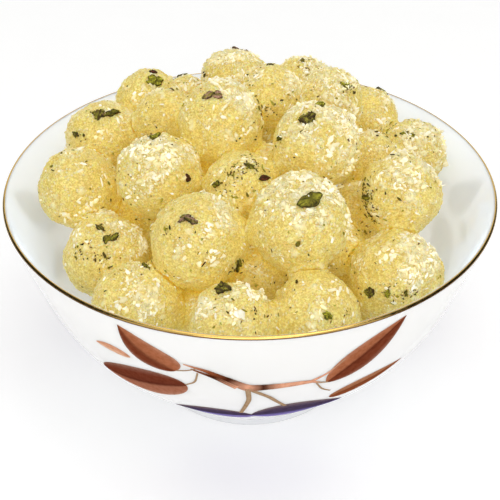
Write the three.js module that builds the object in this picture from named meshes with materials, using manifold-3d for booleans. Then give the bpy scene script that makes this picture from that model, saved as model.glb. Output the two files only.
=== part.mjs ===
// A bowl of petha: a white china bowl on a low foot, heaped with round sweets that carry
// slices and chips of pistachio. Millimetres, +Z up, origin at the centre of the foot's
// underside, the shown side of the heap towards -Y.
import * as THREE from 'three';
import { mergeVertices } from 'three/addons/utils/BufferGeometryUtils.js';
import Module from 'manifold-3d';

// ---- Driving dimensions -------------------------------------------------------------------

// Bowl: a cone that rises from the foot, a rounded shoulder, and a nearly straight wall that
// thins towards the lip.
const RIM_RADIUS = 75;
const RIM_HEIGHT = 73;
const WALL_THICKNESS = 2.2;
const LIP_THICKNESS = 1.3;
const WALL_SLOPE = THREE.MathUtils.degToRad(72);
const CONE_SLOPE = THREE.MathUtils.degToRad(48);
const SHOULDER_RADIUS = 60;
const FOOT_RADIUS = 34;
const FOOT_WIDTH = 3;
const FOOT_HEIGHT = 2.5;
const FOOT_RECESS = 1.5;
const FLOOR_HEIGHT = 5;
const FLOOR_FILLET = 10;
const BOWL_SIDES = 48;
const SHOULDER_STEPS = 4;
const LIP_STEPS = 3;
const FILLET_STEPS = 3;

// Sweets: clear gap kept between neighbours, and how far two of them press into each other.
const CONTACT_GAP = 0.3;
const PRESS_DEPTH = 0.5;
const DENT_DEPTH = 0.035; // deepest hollow in a sweet's surface, as a share of its radius
const PLACED_DETAIL = 2; // edge divisions of the icosahedron, less one
const UNDER_DETAIL = 1;

// Sweets placed by hand, by row from the front: name, right, back, up, diameter. The core ones
// lie behind the gaps between the others.
const PLACED_SWEETS = [
  ['front_1', -32, -44, 57.5, 25.5],
  ['front_2', -5, -56.5, 61.5, 23.5],
  ['front_3', 18, -51, 60, 25],
  ['front_4', 41.5, -35.5, 61.5, 27],
  ['second_1', -43, -21.5, 59, 25.5],
  ['second_2', -14, -33.5, 73, 27],
  ['second_3', 13.5, -32.5, 78, 28],
  ['second_4', 44, -16, 77, 24],
  ['middle_1', -52.5, -2, 70.5, 25],
  ['middle_2', -27.5, -8.5, 78.5, 25.5],
  ['middle_3', -2, -13, 77.5, 22],
  ['middle_4', 19.5, -5.5, 87.5, 26],
  ['middle_5', 33, -4, 61, 22.5],
  ['upper_1', -47.5, 21.5, 74, 24.5],
  ['upper_2', -26.5, 20.5, 82, 20.5],
  ['upper_3', -8.5, 7.5, 88, 26],
  ['upper_4', 6.5, 24, 88.5, 19.5],
  ['upper_5', 25.5, 28.5, 83.5, 21.5],
  ['upper_6', 53.5, 24.5, 67.5, 22.5],
  ['back_1', -34, 40, 78, 22.5],
  ['back_2', -22.5, 55.5, 68.5, 21],
  ['back_3', -5, 43.5, 83, 23.5],
  ['back_4', 18, 47.5, 80.5, 20],
  ['back_5', 38, 41, 70, 23.5],
  ['rear_1', 0, 58.5, 61, 23.5],
  ['rear_2', 24, 53.5, 59, 24],
  ['rear_3', -44, 36, 55, 24.5],
  ['core_1', 14.5, 15, 71.5, 20],
  ['core_2', -11, 27, 71, 21],
  ['core_3', 38, 10, 72, 19],
  ['core_4', -34.5, -2.5, 60, 18],
  ['core_5', 2, -30, 60, 18],
  ['core_6', 25.5, -22, 63, 17],
  ['core_7', -12, -40, 52.5, 18],
  ['core_8', 7.5, 5.5, 72.5, 20],
  ['core_9', -12.5, 1.5, 68.5, 17],
];

// Sweets under them, from a close packing of equal balls that fills the bowl.
const UNDER_DIAMETER = 25;
const UNDER_TOP = 72; // none of their centres starts higher than this
const CROWDED_SHARE = 0.74; // one that starts nearer than this share of touching is left out
const SETTLE_ROUNDS = 400;
const FALL_STEP = 0.25;
const HOME_PULL = 0.2; // share of the way back to its place that a placed sweet takes a round
const PLACED_YIELD = 0.12; // share of a push that a placed sweet takes from one under it

// Pistachio pieces: sweet, bearing and height on it in degrees, length, width, thickness and
// turn. A bearing of 0 is towards the front and 90 to the right, a height of 90 is the top, and
// the turn of the long side is counted from level, anticlockwise seen from outside.
const SLICES = [
  ['front_1', 135, 70, 3.5, 2.5, 1.4, 0],
  ['front_2', -130, 75, 5, 4.5, 1.8, 90],
  ['front_3', 15, 40, 3, 2.2, 1.2, 160],
  ['front_4', -40, 12, 3, 3.5, 1.4, 110],
  ['front_4', -18, 18, 3, 2, 1.2, 90],
  ['second_1', 25, 60, 6, 2.8, 1.4, 170],
  ['second_1', -10, 77, 3.5, 1.6, 1.2, 160],
  ['second_2', -20, 60, 6, 3.5, 1.6, 10],
  ['second_3', 20, 60, 7.5, 4.5, 1.8, 15],
  ['second_4', -65, 12, 3.5, 2.6, 1.4, 30],
  ['middle_2', 50, 20, 2.6, 2.4, 1.4, 70],
  ['middle_2', -165, 80, 4, 3, 1.4, 40],
  ['middle_3', 50, 40, 3.5, 2, 1.4, 160],
  ['middle_3', 30, 65, 3.5, 2.6, 1.4, 130],
  ['middle_3', -50, 30, 3, 2.4, 1.4, 30],
  ['middle_4', -35, 65, 5.5, 4.5, 1.8, 10],
  ['middle_4', 155, 80, 3.6, 2.6, 1.4, 70],
  ['middle_4', -68, 24, 3.4, 2, 1.2, 30],
  ['upper_1', 0, 70, 4.6, 4, 1.6, 70],
  ['upper_1', 52, 65, 5, 3.5, 1.6, 170],
  ['upper_3', -25, 65, 7, 4, 1.6, 30],
  ['upper_4', 175, 60, 4.5, 2.8, 1.4, 60],
  ['upper_5', 40, 50, 4, 2.5, 1.4, 140],
  ['upper_6', -30, 60, 5.2, 2.5, 1.4, 10],
  ['back_1', 35, 65, 6, 4.4, 1.6, 0],
  ['back_1', 30, 43, 3, 2.4, 1.2, 50],
  ['back_2', -165, 55, 5.5, 3.5, 1.6, 120],
  ['back_3', 170, 45, 6, 3.6, 1.6, 35],
  ['back_4', 20, 40, 4.5, 2.7, 1.4, 10],
  ['back_5', 125, 50, 5.5, 3, 1.5, 80],
  ['rear_1', 160, 50, 4, 2.6, 1.4, 15],
  ['rear_2', 175, 60, 5, 3.2, 1.5, 100],
];
const SLICE_SIDES = 8;
const SLICE_TOP_SHARE = 0.7; // size of a piece's upper face against its lower one
const SLICE_SUNK_SHARE = 0.5; // part of its thickness that lies below the sweet's surface

const CHINA = { color: 0xf6f5f2, roughness: 0.12, metalness: 0 };
const PETHA = { color: 0xe9d48c, roughness: 0.45, metalness: 0 };

// ---- Helpers ------------------------------------------------------------------------------

const wasm = await Module();
wasm.setup();

// A small seeded generator, so that every build gives the same sweets.
function seededRandom(seed) {
  let state = seed >>> 0;
  return () => {
    state = (Math.imul(state, 1664525) + 1013904223) >>> 0;
    return state / 4294967296;
  };
}

function bareGeometry(geometry) {
  const bare = geometry.index ? geometry.toNonIndexed() : geometry.clone();
  bare.deleteAttribute('normal');
  bare.deleteAttribute('uv');
  return mergeVertices(bare, 1e-4);
}

function toSolid(geometry) {
  const merged = bareGeometry(geometry);
  return new wasm.Manifold(new wasm.Mesh({
    numProp: 3,
    vertProperties: new Float32Array(merged.attributes.position.array),
    triVerts: new Uint32Array(merged.index.array),
  }));
}

function toGeometry(solid) {
  const mesh = solid.getMesh();
  const geometry = new THREE.BufferGeometry();
  geometry.setAttribute('position', new THREE.BufferAttribute(mesh.vertProperties, 3));
  geometry.setIndex(new THREE.BufferAttribute(mesh.triVerts, 1));
  return geometry;
}

function namedMesh(name, geometry, finish) {
  geometry.computeVertexNormals();
  const mesh = new THREE.Mesh(geometry, new THREE.MeshStandardMaterial(finish));
  mesh.name = name;
  return mesh;
}

// ---- Bowl ---------------------------------------------------------------------------------

// Where the line through `start` sloping at `slope` meets the other one, after both are moved
// sideways into the bowl by `inset`.
function meetingPoint(startA, slopeA, startB, slopeB, inset) {
  const inward = (slope) => new THREE.Vector2(-Math.sin(slope), Math.cos(slope)).multiplyScalar(inset);
  const a = startA.clone().add(inward(slopeA));
  const b = startB.clone().add(inward(slopeB));
  const alongA = new THREE.Vector2(Math.cos(slopeA), Math.sin(slopeA));
  const alongB = new THREE.Vector2(Math.cos(slopeB), Math.sin(slopeB));
  const reach = b.clone().sub(a).cross(alongB) / alongA.cross(alongB);
  return a.addScaledVector(alongA, reach);
}

function arcPoints(centre, radius, from, to, steps) {
  return Array.from({ length: steps + 1 }, (_, i) => {
    const angle = from + ((to - from) * i) / steps;
    return new THREE.Vector2(
      centre.x + radius * Math.cos(angle),
      centre.y + radius * Math.sin(angle),
    );
  });
}

const footEdge = new THREE.Vector2(FOOT_RADIUS, FOOT_HEIGHT);
const lipDrop = (LIP_THICKNESS / 2) * (1 + Math.cos(WALL_SLOPE));
const rimEdge = new THREE.Vector2(RIM_RADIUS, RIM_HEIGHT - lipDrop);
const shoulderCentre = meetingPoint(footEdge, CONE_SLOPE, rimEdge, WALL_SLOPE, SHOULDER_RADIUS);
const intoBowl = new THREE.Vector2(-Math.sin(WALL_SLOPE), Math.cos(WALL_SLOPE));
const lipCentre = rimEdge.clone().addScaledVector(intoBowl, LIP_THICKNESS / 2);
const lipInnerEdge = rimEdge.clone().addScaledVector(intoBowl, LIP_THICKNESS);

function shoulder(inset) {
  return arcPoints(
    shoulderCentre,
    SHOULDER_RADIUS - inset,
    CONE_SLOPE - Math.PI / 2,
    WALL_SLOPE - Math.PI / 2,
    SHOULDER_STEPS,
  );
}

// The inside of the bowl, from the axis up to the lip.
function innerProfile() {
  const slopeStart = footEdge.clone().add(
    new THREE.Vector2(-Math.sin(CONE_SLOPE), Math.cos(CONE_SLOPE)).multiplyScalar(WALL_THICKNESS),
  );
  const level = new THREE.Vector2(0, FLOOR_HEIGHT);
  const filletCentre = meetingPoint(level, 0, slopeStart, CONE_SLOPE, FLOOR_FILLET);
  return [
    level,
    ...arcPoints(
      filletCentre,
      FLOOR_FILLET,
      -Math.PI / 2,
      CONE_SLOPE - Math.PI / 2,
      FILLET_STEPS,
    ),
    ...shoulder(WALL_THICKNESS),
  ];
}

function bowlGeometry() {
  const lip = arcPoints(
    lipCentre,
    LIP_THICKNESS / 2,
    WALL_SLOPE - Math.PI / 2,
    WALL_SLOPE + Math.PI / 2,
    LIP_STEPS,
  );
  const profile = [
    new THREE.Vector2(0, FOOT_RECESS),
    new THREE.Vector2(FOOT_RADIUS - FOOT_WIDTH - FOOT_RECESS, FOOT_RECESS),
    new THREE.Vector2(FOOT_RADIUS - FOOT_WIDTH, 0),
    new THREE.Vector2(FOOT_RADIUS, 0),
    footEdge,
    ...shoulder(0),
    ...lip,
    ...innerProfile().reverse(),
  ];
  const lathe = new THREE.LatheGeometry(profile, BOWL_SIDES);
  lathe.rotateX(Math.PI / 2);
  return bareGeometry(lathe);
}

// ---- Where the sweets lie -----------------------------------------------------------------

const insideLine = [...innerProfile(), lipInnerEdge];

// How far a place is inside the bowl's surface, below 0 outside it, and the way inwards there,
// both in the place's own upright half-plane.
function wallClearance(place) {
  const here = new THREE.Vector2(Math.hypot(place.x, place.y), place.z);
  let clear = Infinity;
  let inward = null;
  for (let i = 0; i + 1 < insideLine.length; i += 1) {
    const start = insideLine[i];
    const along = insideLine[i + 1].clone().sub(start);
    const fromStart = here.clone().sub(start);
    const share = THREE.MathUtils.clamp(fromStart.dot(along) / along.lengthSq(), 0, 1);
    const away = fromStart.addScaledVector(along, -share);
    const side = Math.sign(along.cross(away)) || 1;
    if (away.length() < Math.abs(clear)) {
      clear = side * away.length();
      inward = away.multiplyScalar(side).normalize();
    }
  }
  return { clear, inward };
}

function keepOffWall(sweet) {
  const { clear, inward } = wallClearance(sweet.place);
  const missing = sweet.radius + CONTACT_GAP - clear;
  if (missing <= 0) {
    return;
  }
  const turn = Math.atan2(sweet.place.y, sweet.place.x);
  sweet.place.x += missing * inward.x * Math.cos(turn);
  sweet.place.y += missing * inward.x * Math.sin(turn);
  sweet.place.z += missing * inward.y;
}

function placedSweets() {
  return PLACED_SWEETS.map(([name, right, back, up, diameter]) => {
    const home = new THREE.Vector3(right, back, up);
    return { name, placed: true, home, place: home.clone(), radius: diameter / 2 };
  });
}

// Layers of touching balls, each set into the hollows of the one below.
function underSweets(placed) {
  const radius = UNDER_DIAMETER / 2;
  const rowStep = UNDER_DIAMETER * Math.sqrt(3) / 2;
  const layerStep = UNDER_DIAMETER * Math.sqrt(2 / 3);
  const reach = Math.ceil(RIM_RADIUS / rowStep) + 1;
  const found = [];
  for (let layer = 0; FLOOR_HEIGHT + radius + layer * layerStep < UNDER_TOP; layer += 1) {
    for (let row = -reach; row <= reach; row += 1) {
      for (let column = -reach; column <= reach; column += 1) {
        const shift = layer % 2;
        const place = new THREE.Vector3(
          (column + row / 2 + shift / 2) * UNDER_DIAMETER,
          (row + shift / 3) * rowStep,
          FLOOR_HEIGHT + radius + layer * layerStep,
        );
        const fits = wallClearance(place).clear > radius * CROWDED_SHARE;
        const crowded = placed.some((other) => (
          place.distanceTo(other.home) < (radius + other.radius) * CROWDED_SHARE
        ));
        if (fits && !crowded) {
          found.push({ name: `under_${found.length + 1}`, placed: false, place, radius });
        }
      }
    }
  }
  return found;
}

function pushApart(a, b) {
  const apart = b.place.clone().sub(a.place);
  const distance = apart.length();
  const overlap = a.radius + b.radius - PRESS_DEPTH - distance;
  if (overlap <= 0) {
    return;
  }
  let shareOfA = 0.5;
  if (a.placed !== b.placed) {
    shareOfA = a.placed ? PLACED_YIELD : 1 - PLACED_YIELD;
  }
  apart.multiplyScalar(overlap / distance);
  a.place.addScaledVector(apart, -shareOfA);
  b.place.addScaledVector(apart, 1 - shareOfA);
}

function settle(sweets) {
  for (let round = 0; round < SETTLE_ROUNDS; round += 1) {
    const fall = FALL_STEP * (1 - round / SETTLE_ROUNDS);
    for (const sweet of sweets) {
      if (sweet.placed) {
        sweet.place.lerp(sweet.home, HOME_PULL);
      } else {
        sweet.place.z -= fall;
      }
    }
    sweets.forEach((a, i) => sweets.slice(i + 1).forEach((b) => pushApart(a, b)));
    sweets.forEach(keepOffWall);
  }
}

// ---- One sweet ----------------------------------------------------------------------------

// Broad shallow hollows: the share of the radius that is left in each direction.
function hollows(random) {
  const waves = Array.from({ length: 5 }, () => ({
    axis: new THREE.Vector3(random() - 0.5, random() - 0.5, random() - 0.5).normalize(),
    rate: 1.5 + 2.5 * random(),
    phase: 2 * Math.PI * random(),
  }));
  return (direction) => {
    const sum = waves.reduce((total, wave) => (
      total + Math.sin(wave.rate * direction.dot(wave.axis) + wave.phase)
    ), 0);
    return 1 - (DENT_DEPTH * (1 + sum / waves.length)) / 2;
  };
}

// Flats where a neighbour presses: direction to it, and distance of the flat from the centre.
function contactFlats(sweet, sweets) {
  return sweets.filter((other) => other !== sweet).map((other) => {
    const apart = other.place.clone().sub(sweet.place);
    const distance = apart.length();
    const middle = (distance ** 2 + sweet.radius ** 2 - other.radius ** 2) / (2 * distance);
    return { toward: apart.normalize(), depth: middle - CONTACT_GAP / 2 };
  }).filter((flat) => flat.depth < sweet.radius);
}

function sweetGeometry(sweet, sweets, radiusShare) {
  const detail = sweet.placed ? PLACED_DETAIL : UNDER_DETAIL;
  const geometry = bareGeometry(new THREE.IcosahedronGeometry(1, detail));
  const flats = contactFlats(sweet, sweets);
  const position = geometry.attributes.position;
  const point = new THREE.Vector3();
  for (let i = 0; i < position.count; i += 1) {
    point.fromBufferAttribute(position, i).normalize();
    point.multiplyScalar(sweet.radius * radiusShare(point));
    for (const flat of flats) {
      const reach = point.dot(flat.toward);
      if (reach > flat.depth) {
        point.multiplyScalar(flat.depth / reach);
      }
    }
    position.setXYZ(i, point.x, point.y, point.z);
  }
  return geometry;
}

// ---- Pistachio pieces ---------------------------------------------------------------------

// A low slab with a smaller upper face, standing on the sweet's surface.
function sliceSolid([, bearing, height, length, width, thickness, turn], sweet, radiusShare) {
  const around = THREE.MathUtils.degToRad(bearing);
  const rise = THREE.MathUtils.degToRad(height);
  const outward = new THREE.Vector3(
    Math.sin(around) * Math.cos(rise),
    -Math.cos(around) * Math.cos(rise),
    Math.sin(rise),
  );
  const level = new THREE.Vector3(Math.cos(around), Math.sin(around), 0);
  const longSide = level.applyAxisAngle(outward, THREE.MathUtils.degToRad(turn));
  const shortSide = longSide.clone().cross(outward);
  const surface = sweet.radius * radiusShare(outward);
  const slab = new THREE.CylinderGeometry(SLICE_TOP_SHARE, 1, thickness, SLICE_SIDES);
  slab.scale(length / 2, 1, width / 2);
  slab.applyMatrix4(new THREE.Matrix4().makeBasis(longSide, outward, shortSide));
  const lift = surface + thickness * (0.5 - SLICE_SUNK_SHARE);
  slab.translate(outward.x * lift, outward.y * lift, outward.z * lift);
  return toSolid(slab);
}

function sweetWithSlices(sweet, sweets, random) {
  const radiusShare = hollows(random);
  const body = sweetGeometry(sweet, sweets, radiusShare);
  const slices = SLICES.filter(([name]) => name === sweet.name);
  if (slices.length === 0) {
    return body;
  }
  const solid = slices.reduce(
    (whole, slice) => whole.add(sliceSolid(slice, sweet, radiusShare)),
    toSolid(body),
  );
  return toGeometry(solid);
}

// ---- Assembly -----------------------------------------------------------------------------

const dish = new THREE.Group();
dish.add(namedMesh('bowl', bowlGeometry(), CHINA));

const placed = placedSweets();
const sweets = [...placed, ...underSweets(placed)];
settle(sweets);
sweets.forEach((sweet, index) => {
  const geometry = sweetWithSlices(sweet, sweets, seededRandom(index + 1));
  const mesh = namedMesh(`petha_${sweet.name}`, geometry, PETHA);
  mesh.position.copy(sweet.place);
  dish.add(mesh);
});

export default dish;
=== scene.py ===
# A white china bowl on a low foot, heaped with round petha sweets that carry slices, chips and
# crumbs. Measures are in millimetres until a piece is made, and angles are in degrees.
import itertools
import math

import bmesh
import bpy
import numpy as np
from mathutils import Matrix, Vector


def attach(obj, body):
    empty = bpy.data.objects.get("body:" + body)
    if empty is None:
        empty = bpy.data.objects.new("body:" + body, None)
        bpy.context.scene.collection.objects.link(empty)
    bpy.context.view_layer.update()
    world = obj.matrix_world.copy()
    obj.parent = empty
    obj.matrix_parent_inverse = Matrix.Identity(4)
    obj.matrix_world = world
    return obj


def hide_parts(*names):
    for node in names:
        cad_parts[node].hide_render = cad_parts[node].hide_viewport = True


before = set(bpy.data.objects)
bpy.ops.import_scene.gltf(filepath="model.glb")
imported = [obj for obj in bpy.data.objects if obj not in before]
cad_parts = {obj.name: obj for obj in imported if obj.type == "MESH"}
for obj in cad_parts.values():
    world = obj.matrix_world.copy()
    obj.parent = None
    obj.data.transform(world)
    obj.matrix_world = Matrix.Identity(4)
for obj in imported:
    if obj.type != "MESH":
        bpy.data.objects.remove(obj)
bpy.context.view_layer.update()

MM = 0.001

# ---- The same sizes as in the CAD source ----------------------------------------------------

RIM_RADIUS = 75
RIM_HEIGHT = 73
WALL_THICKNESS = 2.2
LIP_THICKNESS = 1.3
WALL_SLOPE = math.radians(72)
CONE_SLOPE = math.radians(48)
SHOULDER_RADIUS = 60
FOOT_RADIUS = 34
FOOT_WIDTH = 3
FOOT_HEIGHT = 2.5
FOOT_RECESS = 1.5
FLOOR_HEIGHT = 5
FLOOR_FILLET = 10

CONTACT_GAP = 0.3
DENT_DEPTH = 0.035
UNDER_DIAMETER = 25

# Diameter of each sweet that is placed one by one, and how much of it the crumb coat covers.
PLACED_SWEETS = [
    ("front_1", 25.5, 0.35), ("front_2", 23.5, 0.3), ("front_3", 25, 0.1), ("front_4", 27, 0.6),
    ("second_1", 25.5, 0.45), ("second_2", 27, 0.3), ("second_3", 28, 0.7), ("second_4", 24, 0.7),
    ("middle_1", 25, 0.1), ("middle_2", 25.5, 0.62), ("middle_3", 22, 0.05), ("middle_4", 26, 0.8),
    ("middle_5", 22.5, 0.3), ("upper_1", 24.5, 0.35), ("upper_2", 20.5, 0.25), ("upper_3", 26, 0.6),
    ("upper_4", 19.5, 0.5), ("upper_5", 21.5, 0.7), ("upper_6", 22.5, 0.8), ("back_1", 22.5, 0.35),
    ("back_2", 21, 0.4), ("back_3", 23.5, 0.75), ("back_4", 20, 0.75), ("back_5", 23.5, 0.8),
    ("rear_1", 23.5, 0.6), ("rear_2", 24, 0.5), ("rear_3", 24.5, 0.5), ("core_1", 20, 0.3),
    ("core_2", 21, 0.3), ("core_3", 19, 0.4), ("core_4", 18, 0.4), ("core_5", 18, 0.3),
    ("core_6", 17, 0.3), ("core_7", 18, 0.3), ("core_8", 20, 0.4), ("core_9", 17, 0.3),
]


def rgb(red, green, blue):
    """Linear colour of an sRGB one given from 0 to 255."""
    shares = [channel / 255 for channel in (red, green, blue)]
    return tuple(s / 12.92 if s <= 0.04045 else ((s + 0.055) / 1.055) ** 2.4
                 for s in shares)


# ---- Repeatable noise on arrays of points ---------------------------------------------------

HASH_FACTORS = (73856093, 19349663, 83492791)
HASH_SEED = 2654435761
HASH_MIX = 1274126177


def lattice_values(cells, seed):
    """A value from 0 to 1 for each row of whole numbers."""
    keys = cells.astype(np.int64)
    mixed = seed * HASH_SEED
    for axis, factor in enumerate(HASH_FACTORS):
        mixed = mixed ^ keys[:, axis] * factor
    mixed = (mixed ^ (mixed >> 13)) * HASH_MIX
    mixed ^= mixed >> 16
    return (mixed & 0xFFFF) / 65535.0


def smooth_noise(points, size, seed):
    """Soft noise from 0 to 1 with features of that size."""
    scaled = points / size
    base = np.floor(scaled)
    share = scaled - base
    share = share * share * (3 - 2 * share)
    total = np.zeros(len(points))
    for corner in itertools.product((0, 1), repeat=3):
        weight = np.prod(np.where(corner, share, 1 - share), axis=1)
        total += weight * lattice_values(base + corner, seed)
    return total


def crumb_height(points, size, cover, seed):
    """Height from 0 to 1 of separate crumbs of about that size, lying where cover allows."""
    scaled = points / size
    base = np.floor(scaled)
    height = np.zeros(len(points))
    for corner in itertools.product((-1, 0, 1), repeat=3):
        cell = base + corner
        jitter = np.stack([lattice_values(cell, seed + k) for k in range(3)], axis=1)
        reach = 0.45 + 0.35 * lattice_values(cell, seed + 3)
        lies = lattice_values(cell, seed + 4) < cover
        distance = np.linalg.norm(cell + jitter - scaled, axis=1)
        mound = np.clip(1 - distance / reach, 0, 1) ** 0.6 * lies
        height = np.maximum(height, mound)
    return height


def smooth_step(low, high, values):
    share = np.clip((values - low) / (high - low), 0, 1)
    return share * share * (3 - 2 * share)


# ---- Making pieces --------------------------------------------------------------------------

def new_piece(name, points, faces, material, values=None, tints=None, smooth=True):
    """A mesh on the root body, from points in millimetres."""
    mesh = bpy.data.meshes.new(name)
    corners = faces if isinstance(faces, list) else faces.tolist()
    mesh.from_pydata((np.asarray(points) * MM).tolist(), [], corners)
    mesh.polygons.foreach_set("use_smooth", [smooth] * len(mesh.polygons))
    mesh.materials.append(material)
    for key, data in (values or {}).items():
        layer = mesh.attributes.new(key, "FLOAT", "POINT")
        layer.data.foreach_set("value", np.asarray(data, np.float32))
    if tints is not None:
        layer = mesh.color_attributes.new("tint", "FLOAT_COLOR", "POINT")
        filled = np.ones((len(tints), 4), np.float32)
        filled[:, :3] = tints
        layer.data.foreach_set("color", filled.ravel())
    piece = bpy.data.objects.new(name, mesh)
    bpy.context.scene.collection.objects.link(piece)
    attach(piece, "root")
    return piece


class Nodes:
    """Short way to build a node material round one Principled shader."""

    def __init__(self, name, **settings):
        self.material = bpy.data.materials.new(name)
        self.material.use_nodes = True
        self.tree = self.material.node_tree
        self.shader = self.tree.nodes["Principled BSDF"]
        for socket, value in settings.items():
            self.set(self.shader, socket.replace("_", " "), value)

    def feed(self, target, value):
        if isinstance(value, bpy.types.NodeSocket):
            self.tree.links.new(value, target)
        elif isinstance(value, tuple) and len(value) == 3 and target.type == "RGBA":
            target.default_value = (*value, 1)
        else:
            target.default_value = value

    def set(self, node, socket, value):
        self.feed(node.inputs[socket], value)

    def add(self, kind, out, options=None, **inputs):
        node = self.tree.nodes.new(kind)
        for key, value in (options or {}).items():
            setattr(node, key, value)
        for socket, value in inputs.items():
            self.set(node, socket.replace("_", " "), value)
        return node.outputs[out]

    def attribute(self, name, out="Fac"):
        return self.add("ShaderNodeAttribute", out, {"attribute_name": name})

    def place(self):
        return self.add("ShaderNodeTexCoord", "Object")

    def noise(self, scale, detail=2.0, roughness=0.5, vector=None):
        return self.add("ShaderNodeTexNoise", "Fac", None, Vector=vector or self.place(),
                        Scale=scale, Detail=detail, Roughness=roughness)

    def ramp(self, value, low, high, start=0.0, end=1.0):
        """Value from low..high to start..end, clamped and softened."""
        node = self.tree.nodes.new("ShaderNodeMapRange")
        node.interpolation_type = "SMOOTHSTEP"
        for socket, item in zip(("Value", "From Min", "From Max", "To Min", "To Max"),
                                (value, low, high, start, end)):
            self.set(node, socket, item)
        return node.outputs["Result"]

    def maths(self, kind, a, b=0.0):
        node = self.tree.nodes.new("ShaderNodeMath")
        node.operation = kind
        for target, value in zip(node.inputs, (a, b)):
            self.feed(target, value)
        return node.outputs[0]

    def mix(self, share, a, b, blend="MIX"):
        node = self.tree.nodes.new("ShaderNodeMix")
        node.data_type = "RGBA"
        node.blend_type = blend
        colours = [s for s in node.inputs if s.type == "RGBA"]
        for target, value in zip((node.inputs["Factor"], *colours), (share, a, b)):
            self.feed(target, value)
        return next(s for s in node.outputs if s.type == "RGBA")

    def cells(self, scale):
        """A value for each grain of that scale, from 0 to 1, and the distance to its middle."""
        node = self.tree.nodes.new("ShaderNodeTexVoronoi")
        self.set(node, "Vector", self.place())
        self.set(node, "Scale", scale)
        value = self.add("ShaderNodeSeparateColor", 0, None, Color=node.outputs["Color"])
        return value, node.outputs["Distance"]

    def bump(self, height, strength, distance, under=None):
        inputs = {"Height": height, "Strength": strength, "Distance": distance}
        if under is not None:
            inputs["Normal"] = under
        return self.add("ShaderNodeBump", "Normal", None, **inputs)

    def finish(self, **links):
        for socket, value in links.items():
            self.set(self.shader, socket.replace("_", " "), value)
        return self.material


# ---- Camera, floor and light ----------------------------------------------------------------

CAMERA_PITCH = math.radians(36.1)
CAMERA_REACH = 330
CAMERA_AIM = 45.5  # height of the point it looks at
CAMERA_LENS = 73.15
SENSOR_WIDTH = 36
FLOOR_SIZE = 6  # metres, as all the stage's sizes below
FLOOR_GLOW = 0.17
BOARD_SIZE = (1.2, 0.75)
BOARD_PLACE = (0.42, 0.07, 0.6)
ROOM_LIGHT = 0.69
WHITE = (1.0, 1.0, 1.0)

camera_data = bpy.data.cameras.new("camera")
camera_data.lens = CAMERA_LENS
camera_data.sensor_width = SENSOR_WIDTH
camera_data.clip_start = 0.01
camera = bpy.data.objects.new("camera", camera_data)
camera.location = Vector((
    0, -math.cos(CAMERA_PITCH) * CAMERA_REACH, CAMERA_AIM + math.sin(CAMERA_PITCH) * CAMERA_REACH,
)) * MM
camera.rotation_euler = (math.pi / 2 - CAMERA_PITCH, 0, 0)
bpy.context.scene.collection.objects.link(camera)
bpy.context.scene.camera = camera
bpy.context.scene.view_settings.view_transform = "Standard"
bpy.context.scene.view_settings.look = "None"


def flat_plane(name, width, depth, place, turn, material):
    mesh = bpy.data.meshes.new(name)
    corners = [(x * width / 2, y * depth / 2, 0) for x, y in ((-1, -1), (1, -1), (1, 1), (-1, 1))]
    mesh.from_pydata(corners, [], [(0, 1, 2, 3)])
    mesh.materials.append(material)
    plane = bpy.data.objects.new(name, mesh)
    plane.location = place
    plane.rotation_euler = turn
    bpy.context.scene.collection.objects.link(plane)
    return plane


floor_nodes = Nodes("floor", Roughness=0.8)
floor_paper = floor_nodes.mix(floor_nodes.noise(40.0), rgb(246, 246, 245), rgb(249, 249, 248))
floor_material = floor_nodes.finish(Base_Color=floor_paper, Emission_Color=WHITE,
                                    Emission_Strength=FLOOR_GLOW)
flat_plane("floor", FLOOR_SIZE, FLOOR_SIZE, (0, 0, 0), (0, 0, 0), floor_material)

# Black boards beside the bowl that only reflections see.
board_material = Nodes("board", Roughness=1.0, Base_Color=(0.004, 0.004, 0.004)).material
for side in (-1, 1):
    board = flat_plane(f"board_{side + 2}", *BOARD_SIZE, (side * BOARD_PLACE[0], *BOARD_PLACE[1:]),
                       (0, side * math.pi / 2, 0), board_material)
    board.visible_camera = False
    board.visible_diffuse = False
    board.visible_shadow = False
    board.visible_transmission = False

world = bpy.data.worlds.new("room")
world.use_nodes = True
sky = world.node_tree.nodes["Background"].inputs
sky["Color"].default_value = (*WHITE, 1)
sky["Strength"].default_value = ROOM_LIGHT
bpy.context.scene.world = world


def soft_light(name, place, aim, size, power):
    data = bpy.data.lights.new(name, "AREA")
    data.shape = "DISK"
    data.size = size
    data.energy = power
    light = bpy.data.objects.new(name, data)
    light.location = place
    light.rotation_euler = (Vector(aim) - Vector(place)).to_track_quat("-Z", "Y").to_euler()
    bpy.context.scene.collection.objects.link(light)


HEAP = (0, 0, 0.07)
soft_light("overhead", (0.0, 0.0, 1.0), HEAP, 1.0, 1.6)
soft_light("front", (0.0, -0.85, 0.5), HEAP, 0.7, 2.0)
soft_light("key", (0.2, -0.25, 0.7), HEAP, 0.35, 0.45)


# ---- Bowl -----------------------------------------------------------------------------------

BOWL_SIDES = 192


def away_from(point, slope, inset):
    """The point moved into the bowl, square to a line of that slope."""
    return np.array(point) + np.array([-math.sin(slope), math.cos(slope)]) * inset


def meeting_point(start_a, slope_a, start_b, slope_b, inset):
    a, b = away_from(start_a, slope_a, inset), away_from(start_b, slope_b, inset)
    along = np.array([[math.cos(slope_a), -math.cos(slope_b)],
                      [math.sin(slope_a), -math.sin(slope_b)]])
    reach = np.linalg.solve(along, b - a)[0]
    return a + along[:, 0] * reach


def arc_points(centre, radius, start, end, steps):
    turns = np.linspace(start, end, steps + 1)
    return [np.array([centre[0] + radius * math.cos(t), centre[1] + radius * math.sin(t)])
            for t in turns]


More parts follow.
